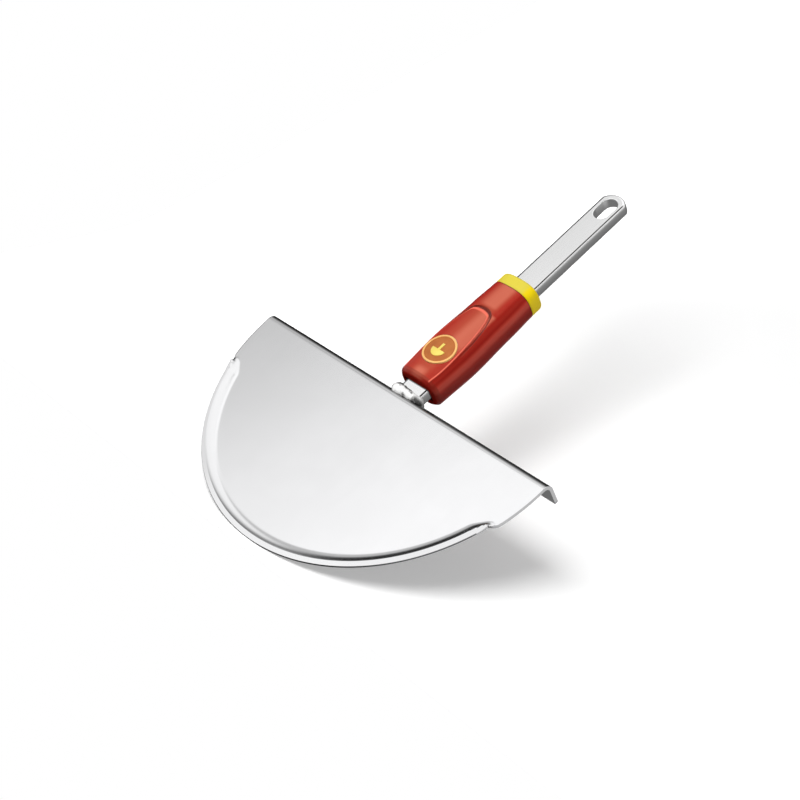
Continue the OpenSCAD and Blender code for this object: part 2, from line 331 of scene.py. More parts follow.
class EdgerStageSettings(bpy.types.PropertyGroup):
    """Camera, light and floor"""

    camera_place: vector(
        "Camera place", "Where the camera stands", "TRANSLATION", (0.85416, -0.42365, 0.95446))
    camera_turn: vector(
        "Camera turn", "How the camera is turned", "EULER",
        (math.radians(42.2272), math.radians(17.4425), math.radians(47.0203)))
    lens: number("Lens", "Focal length in millimetres", 112.5)
    key_place: vector("Key place", "Where the key lamp hangs", "TRANSLATION", (0.0, 0.09, 1.50))
    key_power: number("Key power", "Power of the key lamp", 21.0, unit="POWER")
    key_size: length("Key size", "Width of the key lamp", 1100.0)
    fill: number("Fill", "Level of the even light from all round", 0.345)
    floor_glow: number("Floor glow", "Light that the floor adds for the camera", 0.28)
    floor_normal: vector("Floor normal", "Which way the floor faces", "DIRECTION", (0.019, 0.599, 1.0))
    floor_bend: length("Floor bend", "Where along the floor its bend starts", 300.0)
    floor_bend_run: length("Floor bend run", "Length of the floor's bend", 50.0)
    floor_rise: number("Floor rise", "Slope of the floor behind its bend, against its front", 0.33)
    # Painted shade: glow taken from the floor along the bar's shadow, behind its bend.
    floor_painted_shade: number("Floor dim", "Glow taken from the floor behind its bend", 0.12)
    floor_painted_shade_run: length("Floor dim run", "Length over which the glow is taken", 180.0)


# Finishes

class Value:
    """A value in a node tree that sums can be written on."""

    def __init__(self, finish, socket):
        self.finish = finish
        self.socket = socket

    def sum(self, operation, *values):
        """One math node."""
        return self.finish.node("ShaderNodeMath", {"operation": operation}, dict(enumerate(values)))

    def at_least(self, other):
        """The larger of this and another."""
        return self.sum("MAXIMUM", self, other)

    def at_most(self, other):
        """The smaller of this and another."""
        return self.sum("MINIMUM", self, other)

    def size(self):
        """The value without its sign."""
        return self.sum("ABSOLUTE", self)

    def root(self):
        """The square root."""
        return self.sum("SQRT", self)


def sign(operation, swapped):
    """The method behind one of the signs + - * / on values, with its sides swapped if asked for."""
    def method(self, other):
        first, second = (other, self) if swapped else (self, other)
        return self.sum(operation, first, second)
    return method


for word, operation in (("add", "ADD"), ("sub", "SUBTRACT"), ("mul", "MULTIPLY"), ("truediv", "DIVIDE")):
    setattr(Value, f"__{word}__", sign(operation, False))
    setattr(Value, f"__r{word}__", sign(operation, True))


class Finish:
    """One procedural material or world under construction."""

    def __init__(self, name, world=False):
        self.owner = bpy.data.worlds.new(name) if world else bpy.data.materials.new(name)
        self.owner.use_nodes = True
        self.tree = self.owner.node_tree
        self.tree.nodes.clear()
        self.end = self.tree.nodes.new("ShaderNodeOutputWorld" if world else "ShaderNodeOutputMaterial")

    def feed(self, socket, value):
        """Links a value to a socket, or sets a constant there."""
        if isinstance(value, Value):
            self.tree.links.new(value.socket, socket)
        else:
            socket.default_value = value

    def node(self, kind, settings=None, inputs=None, output=0):
        """Adds a node: its settings first, then its inputs, and gives back one of its outputs."""
        made = self.tree.nodes.new(kind)
        for name, value in (settings or {}).items():
            setattr(made, name, value)
        for name, value in (inputs or {}).items():
            self.feed(made.inputs[name], value)
        return Value(self, made.outputs[output])

    def coordinates(self):
        """The object's own coordinates."""
        return self.node("ShaderNodeTexCoord", output="Object")

    def noise(self, where, scale, detail=3.0, roughness=0.5, stretch=(1.0, 1.0, 1.0)):
        """Soft noise from 0 to 1, finer along an axis that is stretched."""
        turned = self.node("ShaderNodeMapping", {}, {"Vector": where, "Scale": stretch})
        inputs = {"Vector": turned, "Scale": scale, "Detail": detail, "Roughness": roughness}
        return self.node("ShaderNodeTexNoise", {}, inputs)

    def parts(self, where):
        """The three parts of a vector."""
        split = self.node("ShaderNodeSeparateXYZ", {}, {"Vector": where}).socket.node
        return [Value(self, split.outputs[k]) for k in range(3)]

    def span(self, value, start, end, low=0.0, high=1.0, how="SMOOTHSTEP"):
        """Goes from low at start to high at end, softly unless told otherwise. The end may come first."""
        if start > end:
            start, end, low, high = end, start, high, low
        inputs = {"Value": value, "From Min": start, "From Max": end, "To Min": low, "To Max": high}
        return self.node("ShaderNodeMapRange", {"interpolation_type": how}, inputs)

    def step(self, value, start, end, low=0.0, high=1.0):
        """A span with its two places in millimetres."""
        return self.span(value, start * MM, end * MM, low, high)

    def blend(self, factor, first, second):
        """A colour between two others."""
        inputs = {"Factor": factor, 6: first, 7: second}
        return self.node("ShaderNodeMix", {"data_type": "RGBA"}, inputs, output=2)

    def mottle(self, where, scale, main, other, roughness=0.5):
        """Soft clouds, and a colour that drifts with them."""
        cloud = self.noise(where, scale, 3.0, roughness)
        return cloud, self.blend(self.span(cloud, 0.3, 0.7), rgb(*main), rgb(*other))

    def bump(self, height, strength, distance):
        """A normal that follows a height."""
        return self.node("ShaderNodeBump", {}, {"Height": height, "Strength": strength, "Distance": distance})

    def surface(self, inputs):
        """The usual surface with these inputs."""
        return self.node("ShaderNodeBsdfPrincipled", {}, inputs)

    def close(self, shader):
        """Ends the tree and gives back its owner."""
        self.tree.links.new(shader.socket, self.end.inputs["Surface"])
        return self.owner


def rgb(red, green, blue):
    """A colour given as seen on the screen, 0 to 255, turned to linear light."""
    def linear(c):
        c = c / 255
        return c / 12.92 if c <= 0.04045 else ((c + 0.055) / 1.055) ** 2.4
    return (linear(red), linear(green), linear(blue), 1.0)


def steel(name, tone, rough, grain, grain_depth, painted_darkness=None):
    """Bare steel with fine hairlines along one axis and, if asked for, painted shade and painted dark
    reflections laid over it.
    """
    finish = Finish(name)
    where = finish.coordinates()
    hair = finish.noise(where, 900.0, 4.0, 0.6, grain)
    cloud, tint = finish.mottle(where, 26.0, tone, [c - 3 for c in tone], 0.55)
    if painted_darkness:
        # The painted shade and dark reflections are blended in as a near black.
        tint = finish.blend(painted_darkness(finish, *finish.parts(where)) * 0.93, tint, rgb(50, 48, 47))
    roughness = rough + (hair - 0.5) * 0.06 + (cloud - 0.5) * 0.03
    return finish.close(finish.surface({
        "Base Color": tint, "Metallic": 1.0, "Roughness": roughness,
        "Normal": finish.bump(hair, grain_depth, 0.04 * MM)}))


def weld_metal(name, centre, bead):
    """Bright weld metal with painted shade in fine crevices and in the crease by the bar, and a painted shadow
    at one end.
    """
    finish = Finish(name)
    where = finish.coordinates()
    ripple, tint = finish.mottle(where, 420.0, (247, 247, 246), (250, 250, 249), 0.6)
    fine = finish.noise(where, 260.0, 2.0)
    patch = finish.noise(where, 150.0, 1.0)
    x, y, _ = finish.parts(where)
    # Painted shade in fine crevices and in the crease where the bead meets the bar, and a painted shadow on the
    # bead's +X end.
    crevice_shade = finish.span((fine - 0.5).size(), 0.08, 0.025) * finish.span(patch, 0.40, 0.52, 0.0, 0.8)
    painted_crease_shade = finish.span(y + (fine - 0.5) * 3 * MM, centre.y + bead * 0.5, centre.y + bead * 0.85)
    crevice_shade = crevice_shade.at_least(painted_crease_shade * finish.step(x, 3.5, 0.5))
    painted_end_shadow = finish.step(x, 4.0, 6.4) * finish.span(ripple, 0.34, 0.50, 0.7, 1.0)
    painted_end_shadow = painted_end_shadow * finish.span(y, centre.y - bead * 0.2, centre.y + bead * 0.5, 1.0, 0.3)
    tint = finish.blend(crevice_shade.at_least(painted_end_shadow) * 0.93, tint, rgb(30, 28, 27))
    return finish.close(finish.surface({
        "Base Color": tint, "Metallic": 0.4, "Specular IOR Level": 0.25, "Roughness": 0.36 + ripple * 0.2,
        "Normal": finish.bump(ripple, 0.85, 0.6 * MM)}))


def plastic_surface(finish, where, tint, rough, shine, shine_tint):
    """Moulded plastic of a given colour with a fine surface texture."""
    pebble = finish.noise(where, 1500.0, 2.0)
    return finish.surface({
        "Base Color": tint, "Roughness": rough + (pebble - 0.5) * 0.10, "Specular IOR Level": shine,
        "Specular Tint": shine_tint, "Normal": finish.bump(pebble, 0.10, 0.06 * MM)})


def ring_plastic(name, level):
    """The collar's plastic: a little drift in its yellow, with painted light making it paler on top and a
    brighter yellow on its sides.
    """
    finish = Finish(name)
    where = finish.coordinates()
    _, tint = finish.mottle(where, 40.0, (218, 192, 0), (213, 186, 0))
    x, _, z = finish.parts(where)
    # Painted light: paler on the top and a brighter yellow on the sides.
    tint = finish.blend(finish.step(z - level, 7, 10), tint, rgb(218, 202, 66))
    tint = finish.blend(finish.step(x.size(), 8, 11), tint, rgb(246, 216, 0))
    return finish.close(plastic_surface(finish, where, tint, 0.36, 0.3, (1.0, 0.9, 0.6, 1.0)))


def inside_panel(finish, size, x, along):
    """How far a spot lies inside the top panel's edge, worked out like the shape itself."""
    front = ((size.panel_wide - along) / size.panel_wide).at_least(0.0)
    rear = ((along - size.panel_wide) / (size.panel_end - size.panel_wide)).at_least(0.0).at_most(1.0)
    narrowed = front * front * (1 - (size.panel_nose / size.panel) ** 2)
    narrowed = narrowed + rear * rear * (1 - (size.panel_rear / size.panel) ** 2)
    edge = size.panel / 2 * (1.0 - narrowed).at_least(0.01).root()
    across = (x.size() / edge).at_most(1.2)
    squared = across * across
    bowed = size.bow * finish.span(along, 40 * MM, size.panel_end - 2 * MM)
    from_rear = size.panel_end - bowed * (0.55 * squared + 0.45 * squared * squared * across) - along
    inputs = {0: edge - x.size(), 1: from_rear * size.rear_share_in, 2: size.groove_round}
    inside = finish.node("ShaderNodeMath", {"operation": "SMOOTH_MIN"}, inputs)
    return inside * finish.span(along, size.panel_end - 12 * MM, size.panel_end - 4 * MM, 1.0, 0.74)


def grip_plastic(name, size, sections):
    """The sleeve's red with painted light and shade: light and highlights on top, a dark band and sheen on the
    sides, shade low down, at the nose, the collar, the groove and the mouth, and a highlight on the lip.
    """
    finish = Finish(name)
    step = finish.step
    where = finish.coordinates()
    _, tint = finish.mottle(where, 40.0, (168, 8, 5), (162, 7, 4))
    x, y, z = finish.parts(where)
    side = x.size()
    along = y - sections.low.y
    to_end = size.panel_end - along
    up = z - sections.middle
    inside = inside_panel(finish, size, x, along)
    off_middle = (x - 1 * MM).size()
    # Painted light on the top, strongest a little left of its middle.
    painted_top_light = step(up, 7, 11) * step(x, 9, 4) * step(x, -8, 0.5, 0.4, 1.0)
    # Painted highlights near the nose and just behind the panel's rear end, within the painted top light.
    painted_highlight = step(along, 9, 5) * step(off_middle, 6, 1)
    painted_highlight = painted_highlight.at_least(step(to_end, 0.5, -2, 0.0, 0.8) * step(off_middle, 9, 3))
    # A painted highlight on the top's right half.
    painted_right_highlight = step(x, -2, 4, 0.0, 0.7) * step(x, 12, 9)
    painted_right_highlight = painted_right_highlight * step(along, 20, 30) * step(to_end, 2, 4) * step(up, 7, 9)
    # A painted dark band high on the sides, where their reflection is dark.
    painted_dark_band = step(up, 5.6, 7.4) * step(up, 11, 9.6) * step(side, 8, 11, 0.0, 0.9)
    # A painted sheen on the upper middle of the sides.
    painted_sheen = step((up - 4 * MM).size(), 3.2, 0.8) * step(side, 9, 11, 0.0, 0.75)
    top = step(up, 2, 4) * step(along, 1.6, 2.6)
    # Painted shade in the groove round the panel, deeper towards the rear.
    groove = top * step(inside, 0.05, 0.35) * step(inside, 1.4, 1.0) * step(along, 16, 38, 0.1, 1.0)
    # A painted highlight along the lip beside the groove.
    lip = top * step((inside - 1.7 * MM).size(), 0.55, 0.12)
    layers = (
        (painted_top_light * 0.8, (176, 68, 48)),
        (painted_top_light * painted_highlight * 0.8, (204, 106, 84)),
        (painted_right_highlight, (204, 106, 84)),
        (painted_dark_band, (146, 0, 0)),
        # Painted shade low on the sleeve, darker towards the bottom.
        (step(up, 1.6, -0.6, 0.0, 0.8), (142, 4, 2)),
        (painted_sheen, (200, 66, 54)),
        # Painted shade on the nose's rounding.
        (step(along, 4.0, 3.0, 0.0, 0.6), (120, 14, 9)),
        # Painted shade in the gap at the collar.
        (step(y - sections.high.y, -0.7, -0.3, 0.0, 0.8), (70, 4, 2)),
        (groove * 0.92, (96, 1, 2)),
        (lip * 0.8, (246, 112, 92)))
    for factor, colour in layers:
        tint = finish.blend(factor, tint, rgb(*colour))
    bar = (sections.bar_high - sections.bar_low) / 2
    near_bar = (side - bar.x).at_least((z - sections.bar_middle).size() - bar.z)
    # Painted shade as a dark matt colour: on the nose's front, and darker in the mouth round the bar.
    mouth = step(near_bar - size.mouth, 0.6, 0.1)
    painted_nose_and_mouth_shade = finish.blend(mouth, rgb(122, 24, 16), rgb(40, 8, 6))
    matt = finish.node("ShaderNodeBsdfDiffuse", {}, {"Color": painted_nose_and_mouth_shade})
    shiny = plastic_surface(finish, where, tint, 0.30, 0.45, (1.0, 0.78, 0.5, 1.0))
    nose = step(along, 1.1, 0.25).at_least(mouth)
    return finish.close(finish.node("ShaderNodeMixShader", {}, {0: nose, 1: shiny, 2: matt}))


def painted_metal(name, main, other, rough, metallic):
    """Lacquered metal of the badge with a faint mottle."""
    finish = Finish(name)
    cloud, tint = finish.mottle(finish.coordinates(), 240.0, main, other)
    return finish.close(finish.surface({
        "Base Color": tint, "Metallic": metallic, "Roughness": rough + (cloud - 0.5) * 0.1,
        "Normal": finish.bump(cloud, 0.1, 0.1 * MM)}))


# The blade

class EDGER_OT_blade(bpy.types.Operator):
    """Models the pressed sheet: half moon face, raised rim, ground edge, fold and flange"""

    bl_idname = "edger.blade"
    bl_label = "Blade"

    # The rim's ends: where close steps begin, where the ridge swings out, where the edge is drawn in
    close_before = math.radians(1.2)
    close_after = math.radians(0.4)
    ridge_last = math.radians(2.2)
    ridge_swing = math.radians(4.6)
    draw_from = math.radians(0.6)
    draw_to = math.radians(1.8)
    end_rise = 4.4 * MM
    # Steps of the ears beside the rim, its two ends, the curve up to it, its swinging ridge and the fold
    ear_steps = 14
    close_steps = 44
    rise_steps = 12
    ridge_steps = 40
    fold_steps = 14
    # The plain strip inside the curve, where loops lie across the rim, and where its last bevel begins
    plain_margin = 6 * MM
    rim_stops = (0.25, 0.5, 0.75, 0.89, 1.0)
    last_bevel_from = 0.97

    def execute(self, context):
        size = context.scene.edger_blade
        low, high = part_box("blade")
        self.size = size
        self.radius = high.x
        self.face = high.z - size.lift
        self.centre = Vector((0, high.y - size.drop, self.face))
        self.ridge = self.radius - size.draw - size.rim
        self.line = self.ridge_line()
        self.piece = self.lay_out_face()
        self.fold_flange(low, high)
        place(self.piece, self.press)
        mode("OBJECT")
        apply(self.piece, "SOLIDIFY", thickness=size.sheet, offset=-1.0, use_even_offset=True)
        mode("EDIT")
        place(self.piece, self.grind)
        self.round_corners(low)
        mode("OBJECT")
        apply(
            self.piece, "BEVEL", width=size.break_edge, segments=2, limit_method="ANGLE",
            angle_limit=math.radians(32))
        smooth(self.piece, 180)
        apply(self.piece, "WEIGHTED_NORMAL", weight=60, keep_sharp=False)
        # The fold and the left cut edge get a painted dark reflection.
        finish = steel("polished_steel", (236, 236, 237), 0.14, (1.0, 0.04, 1.0), 0.05, self.painted_fold_reflection)
        hand_over(self.piece, finish, "blade_steel", "blade")
        return {"FINISHED"}

    def painted_fold_reflection(self, finish, x, y, z):
        """Painted dark reflection: 1 on the outer half of the fold's bend, clear of the cut ends, and less on
        the left cut edge.
        """
        fold = self.size.fold
        back = self.centre.y + self.size.drop
        dark = finish.span(y, back - fold * 1.05, back - fold * 0.36)
        dark = dark * finish.span(z, self.face - fold * 0.82, self.face - fold * 0.62)
        dark = dark * finish.step(x.size() - self.radius, -0.1, -0.3)
        down = y - self.centre.y
        out = (x * x + down * down).root()
        edge = finish.step(out - self.radius, -0.6, -0.4, 0.0, 0.6) * finish.step(x, 1, -1)
        return dark.at_least(edge * finish.step(down, -30, -27))

    def lay_out_face(self):
        """Spins a radius round the arc's centre, with close steps at the rim's ends, and fills the inside."""
        size = self.size
        foot = self.ridge - size.rise
        inner = foot - self.plain_margin
        deselect_all()
        bpy.ops.mesh.primitive_plane_add(size=1 * MM, location=self.centre + Vector((inner, 0, 0)))
        piece = begin("half_moon_blade")
        bpy.ops.mesh.merge(type="CENTER")
        stops = [foot - 2 * MM, foot - 0.5 * MM, foot]
        stops += [foot + size.rise * k / self.rise_steps for k in range(1, self.rise_steps + 1)]
        stops += [self.ridge + (self.radius - self.ridge) * k for k in self.rim_stops]
        at = inner
        for stop in stops:
            extrude(stop - at, 0, 0)
            at = stop
        take_all()
        ear = size.start - self.close_before
        near = self.line[0][0] + self.close_after
        close = near - ear
        arc = math.pi - 2 * near
        side = [(ear, self.ear_steps), (close, self.close_steps)]
        for turn, steps in (*side, (arc, size.steps), *reversed(side)):
            turn_round(steps, -turn, self.centre, (0, 0, 1))
        weld_doubles()
        ends = [self.centre + Vector((x, 0, 0)) for x in (-inner, inner)]
        pick(piece, "VERT", lambda v: min((v.co - end).length for end in ends) < NEAR)
        bpy.ops.mesh.edge_face_add()
        pick(piece, "EDGE", lambda e: all(abs((v.co - self.centre).length - inner) < CLOSE for v in e.verts))
        bpy.ops.mesh.edge_face_add()
        return piece

    def fold_flange(self, low, high):
        """Carries the straight side to the fold, round it and down the flange."""
        size = self.size
        pick(self.piece, "EDGE", lambda e: all(abs(v.co.y - self.centre.y) < CLOSE for v in e.verts))
        extrude(0, size.drop - size.fold, 0)
        turn_at = (0, high.y - size.fold, self.face - size.fold)
        turn_round(self.fold_steps, -math.pi / 2, turn_at, (1, 0, 0))
        extrude(0, 0, low.z - turn_at[2])
        weld_doubles()
        mesh = bmesh.from_edit_mesh(self.piece.data)
        widest = max(mesh.faces, key=lambda f: f.calc_area())
        if widest.normal.z < 0:
            bpy.ops.mesh.flip_normals()

    def ridge_line(self):
        """Points of the ridge at one end of the rim, as (turn, radius), where it swings out to the edge."""
        last = self.size.start + self.ridge_last
        first = last + self.ridge_swing
        points = []
        for k in range(self.ridge_steps + 1):
            u = k / self.ridge_steps
            out = (self.size.rim + 0.4 * MM) * (1 - math.sqrt(1 - u * u))
            points.append((first + (last - first) * u, self.ridge + out))
        return points

    def turn_of(self, out):
        """Turn of a spot from the straight side, the same on both halves."""
        return math.atan2(-out.y, abs(out.x))

    def lift_at(self, point):
        """Height of the pressed rim over the face, as a share of its full lift."""
        size = self.size
        out = (point - self.centre).xy
        if out.length < self.ridge - size.rise or point.y > self.centre.y:
            return 0.0
        turn = self.turn_of(out)
        width = size.rise
        if turn >= self.line[0][0]:
            apart = max(0.0, self.ridge - out.length)
        else:
            last = self.line[-1][0]
            beyond = [r for t, r in self.line if t <= turn]
            if beyond and out.length >= beyond[0]:
                apart = 0.0
            else:
                here = Vector((math.cos(turn), math.sin(turn))) * out.length
                apart = min((here - Vector((math.cos(t), math.sin(t))) * r).length for t, r in self.line)
            width -= (size.rise - self.end_rise) * (1 - ease(turn, last, self.line[0][0]))
        along = max(0.0, 1 - apart / width) * size.rise
        arc = (size.rise ** 2 + size.lift ** 2) / (2 * size.lift)
        return (arc - math.sqrt(arc * arc - along * along)) / size.lift

    def press(self, point):
        """Lifts the rim and draws its edge in."""
        size = self.size
        share = self.lift_at(point)
        out = (point - self.centre).xy
        if point.y <= self.centre.y and out.length > self.ridge:
            drawn = ease(self.turn_of(out), size.start - self.draw_from, size.start + self.draw_to)
            past = out.length - self.ridge
            kept = 1 - drawn * size.draw / (self.radius - self.ridge)
            moved = out * ((self.ridge + past * kept) / out.length)
            point = Vector((self.centre.x + moved.x, self.centre.y + moved.y, point.z))
        point.z += share * size.lift
        return point

    def grind(self, point):
        """Lowers the upper side of the rim outside its ridge, so that the edge is ground thin."""
        size = self.size
        out = (point - self.centre).xy
        if point.y > self.centre.y or out.length < self.ridge + 0.1 * MM:
            return point
        share = self.lift_at(point)
        top = self.face + share * size.lift
        if point.z > top - size.sheet / 2:
            turn = self.turn_of(out)
            inside = [r for t, r in self.line if t <= turn]
            ridge = inside[0] if turn < self.line[0][0] and inside else self.ridge
            past = min(1.0, max(0.0, out.length - ridge) / size.rim)
            point.z -= share * past * (size.sheet - size.edge)
            if past > self.last_bevel_from:
                point.z -= share * size.last_bevel
        return point

    def round_corners(self, low):
        """Rounds the two lower corners of the flange."""
        pick(self.piece, "EDGE", lambda e: all(
            abs(v.co.z - low.z) < CLOSE and abs(v.co.x) > self.radius - 0.2 * MM for v in e.verts))
        bevel(self.size.corner, 5)


# The bar and its weld

class EDGER_OT_bar(bpy.types.Operator):
    """Models the flat bar with its rounded tip and slot"""

    bl_idname = "edger.bar"
    bl_label = "Bar"

    def execute(self, context):
        size = context.scene.edger_bar
        self.size = size
        self.low, self.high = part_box("tang")
        half = self.high.x
        tip = Vector((0, self.high.y - size.tip, self.low.z))
        reach = math.asin(half / size.tip)
        straight_end = tip.y + size.tip * math.cos(reach)
        self.straight_end = straight_end
        piece = self.outline(half, tip, reach)
        profile = self.edge_profile()
        for (here, _), (after, _) in zip(profile, profile[1:]):
            extrude(0, 0, after - here)

        def draw_in(point):
            inset = between(point.z, profile)
            if point.y < straight_end - NEAR:
                return Vector((math.copysign(half - inset, point.x), point.y, point.z))
            radius = size.tip - inset
            turn = math.atan2(point.x, point.y - tip.y) * math.asin((half - inset) / radius) / reach
            return Vector((radius * math.sin(turn), tip.y + radius * math.cos(turn), point.z))

        place(piece, draw_in)
        weld_doubles()
        cut(piece, self.slot_tool())
        mode("EDIT")
        self.round_slot(piece)
        smooth(piece, 10)
        mode("EDIT")
        pick(piece, "FACE", lambda f: abs(f.normal.z) > 0.9999)
        bpy.ops.mesh.region_to_loop()
        bpy.ops.mesh.mark_sharp()
        mode("OBJECT")
        # The bar gets painted shade in the mouth and on its sides, and a painted dark reflection along its
        # shoulders.
        finish = steel("satin_steel", (249, 249, 249), 0.15, (1.0, 0.04, 1.0), 0.06, self.bar_painted_shade)
        hand_over(piece, finish, "tang_steel", "tang")
        return {"FINISHED"}

    def outline(self, half, tip, reach):
        """The bar's outline as one flat face: straight sides and a rounded tip."""
        end = self.straight_end
        deselect_all()
        bpy.ops.mesh.primitive_plane_add(size=1.0, location=(0, (self.low.y + end) / 2, self.low.z))
        bpy.ops.transform.resize(value=(2 * half, end - self.low.y, 1))
        piece = begin("flat_bar")
        bpy.ops.mesh.delete(type="ONLY_FACE")
        pick(piece, "EDGE", lambda e: middle(e).y > end - NEAR)
        bpy.ops.mesh.delete(type="EDGE")
        pick(piece, "VERT", lambda v: v.co.x > 0 and v.co.y > end - NEAR)
        turn_round(48, 2 * reach, tip, (0, 0, 1))
        weld_doubles()
        bpy.ops.mesh.edge_face_add()
        take_all()
        return piece

    def slot_tool(self):
        """A long round-ended block to cut the slot with."""
        size = self.size
        stretch = (size.slot_length - size.slot_width) / 2
        at = self.high.y - size.slot_margin - size.slot_length / 2
        tool = circle("slot_tool", 96, size.slot_width / 2, (0, at, self.low.z - 1 * MM))
        place(tool, lambda p: Vector((p.x, p.y + math.copysign(stretch, p.y - at), p.z)))
        take_all()
        extrude(0, 0, self.high.z - self.low.z + 2 * MM)
        weld_doubles()
        return tool

    def bar_painted_shade(self, finish, x, y, z):
        """Painted shade in the sleeve's mouth, a painted dark reflection line along the bar's shoulders, and a
        little painted shade on its sides.
        """
        step = finish.step
        in_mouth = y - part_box("sleeve")[0].y
        inside = step(in_mouth, -0.4, 0.5) * step(in_mouth, 10, 9)
        from_side = self.high.x - x.size()
        from_shoulder = from_side - (self.size.edge * 0.74 + self.size.shoulder)
        line = step(from_shoulder, 0.2, 0.05) * step(from_shoulder, -0.75, -0.6) * step(x, -1, 1, 0.2, 1.0)
        line = line * step(y - self.straight_end, 1, -1)
        return inside.at_least(step(from_side, 0.25, 0.08, 0.0, 0.3)).at_least(line)

    def edge_profile(self):
        """Heights over the bar's side, each with how far its outline is drawn in there."""
        size = self.size
        bottom, top = self.low.z, self.high.z
        slope = math.atan(size.crown / size.shoulder)
        rise = size.crown + size.edge * math.cos(slope)
        lower = [(bottom, size.edge * (1 - math.sin(slope)) + size.shoulder)]
        for k in range(11):
            turn = slope + (math.pi / 2 - slope) * k / 10
            lower.append((bottom + rise - size.edge * math.cos(turn), size.edge * (1 - math.sin(turn))))
        return lower + [(bottom + top - height, inset) for height, inset in reversed(lower)]

    def round_slot(self, piece):
        """Rounds the slot's edges."""
        size = self.size
        rear = self.high.y - size.slot_margin

        def in_slot(edge):
            here = middle(edge)
            level = abs(edge.verts[0].co.z - edge.verts[1].co.z) < NEAR
            return level and abs(here.x) < size.slot_width / 2 + NEAR and (
                rear - size.slot_length - NEAR < here.y < rear + NEAR)

        pick(piece, "EDGE", lambda e: sharp(e, 60) and in_slot(e))
        bevel(size.slot_edge, 10)
        weld_doubles()


class EDGER_OT_weld(bpy.types.Operator):
    """Models the rippled weld bead round the bar's foot"""

    bl_idname = "edger.weld"
    bl_label = "Weld"

    # The ring that is bent round the bar's foot, its radius in millimetres
    ring_radius = 10
    ring_steps = 168
    bead_steps = 22
    squareness = 2 / 7
    # How far the ripples turn in each millimetre along the bead, and how much they lean
    ripple_turn = 2.6
    ripple_lean = 0.9
    # The bead's reach as a share of its radius: plain, what the left adds and what the right takes off
    plain_reach = 0.98
    left_adds = 0.34
    right_takes = 0.16
    # Each lot of lumps: how fine, how high as a share of the bead, how much it changes across the bead
    lumps = ((260, 0.24, 0.5), (620, 0.2, 1.0))

    def execute(self, context):
        size = context.scene.edger_bar
        low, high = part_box("weld_bead")
        bar_low, bar_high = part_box("tang")
        half_x = high.x - size.bead
        half_z = (high.z - low.z) / 2 - size.bead
        at = Vector((0, (low.y + high.y) / 2, ((bar_low + bar_high) / 2).z))
        deselect_all()
        bpy.ops.mesh.primitive_torus_add(
            major_radius=self.ring_radius * MM, minor_radius=size.bead, major_segments=self.ring_steps,
            minor_segments=self.bead_steps, rotation=(math.pi / 2, 0, 0), location=at)
        piece = begin("weld_seam")

        def sweep(point):
            here = point - at
            turn = math.atan2(here.z, here.x)
            ring = Vector((math.cos(turn), 0, math.sin(turn)))
            off = here - ring * self.ring_radius * MM
            path_x, path_z = box_point(turn, half_x, half_z, self.squareness)
            path = Vector((path_x, 0, path_z))
            around = math.atan2(off.y, off.dot(ring))
            along = path.x * TO_MM
            wave = math.sin(along * self.ripple_turn + self.ripple_lean * math.cos(around)) * size.ripple
            lump = sum(
                noise.noise(Vector((path.x, path.z, off.y * change)) * fine) * height
                for fine, height, change in self.lumps)
            spread = ease(-path.x, 1 * MM, 9 * MM) * self.left_adds
            spread -= ease(path.x, 1 * MM, 6 * MM) * self.right_takes
            reach = size.bead * (self.plain_reach + wave * 0.5 + lump + spread)
            outward = Vector((ring.x * 0.5, 0, ring.z)).normalized()
            return at + path + outward * math.cos(around) * reach + Vector((0, math.sin(around) * reach, 0))

        place(piece, sweep)
        weld_doubles()
        smooth(piece, 180)
        hand_over(piece, weld_metal("weld_metal", at, size.bead), "weld_metal", "weld_bead")
        return {"FINISHED"}


# The sleeve and the collar

